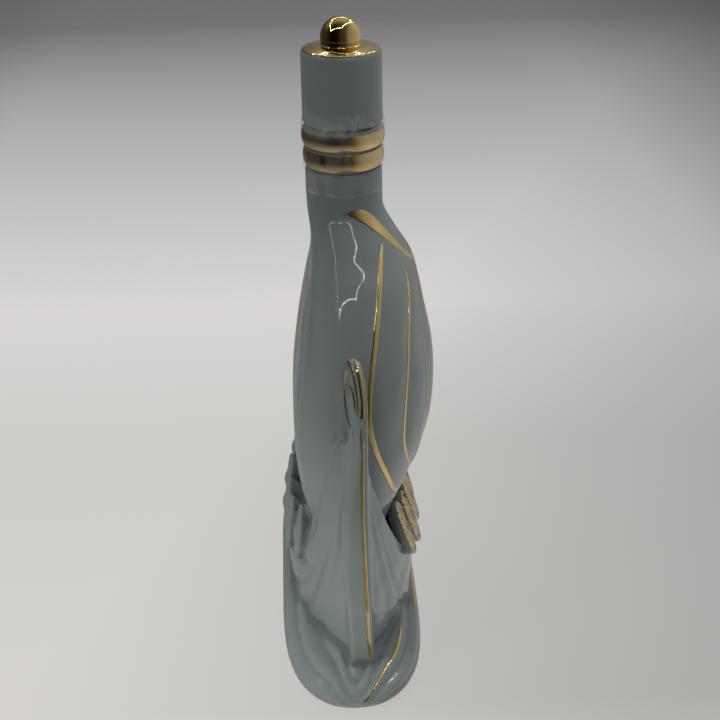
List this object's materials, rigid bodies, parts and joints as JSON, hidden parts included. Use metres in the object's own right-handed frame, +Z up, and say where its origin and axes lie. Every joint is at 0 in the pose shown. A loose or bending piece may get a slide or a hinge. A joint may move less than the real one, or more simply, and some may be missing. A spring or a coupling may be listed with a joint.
{
  "type": "ship-shaped decanter",
  "caption": "Glazed porcelain spirit decanter shaped as a longship under sail, with gold lines, a corked stopper with a ball knob and a clear shrink seal",
  "frame": {"origin": "on the foot plane, under the axis of the neck", "axes": "+Z up along the neck, bow to -Y, stern to +Y, gilded lee side of the sail to +X"},
  "size_m": [0.0747, 0.2158, 0.2834],
  "materials": {
    "porcelain": "pale grey-blue glossy glaze",
    "gold": "fired bright gold",
    "cork": "natural cork",
    "film": "clear heat-shrunk film",
    "spirit": "clear amber liquid"
  },
  "bodies": {
    "flask": {"flask": "porcelain", "cognac_fill": "spirit", "yard_gilding": "gold", "sail_edge_gilding": "gold", "sail_seam_gilding_fore": "gold", "sail_seam_gilding_fore_middle": "gold", "sail_seam_gilding_middle": "gold", "sail_seam_gilding_aft_middle": "gold", "sail_seam_gilding_aft": "gold", "bow_line_gilding": "gold", "bow_scroll_gilding_weather": "gold", "bow_scroll_gilding_lee": "gold", "stern_line_gilding": "gold", "stern_scroll_gilding_weather": "gold", "stern_scroll_gilding_lee": "gold", "gunwale_gilding": "gold", "gunwale_gilding_stern": "gold", "shield_gilding_1": "gold", "shield_gilding_2": "gold", "shield_gilding_3": "gold", "shield_gilding_4": "gold", "shield_gilding_5": "gold", "wave_line_gilding_1": "gold", "wave_line_gilding_2": "gold", "wave_line_gilding_3": "gold", "lower_bead_gilding": "gold", "upper_bead_gilding": "gold", "shrink_seal": "film"},
    "stopper": {"stopper_head": "porcelain", "stopper_gilding": "gold", "stopper_cork": "cork"}
  },
  "joints": [
    {"name": "stopper_lift", "type": "slide", "parent": "flask", "child": "stopper", "axis": [0, 0, 1], "range_m": [0, 0.05]}
  ]
}
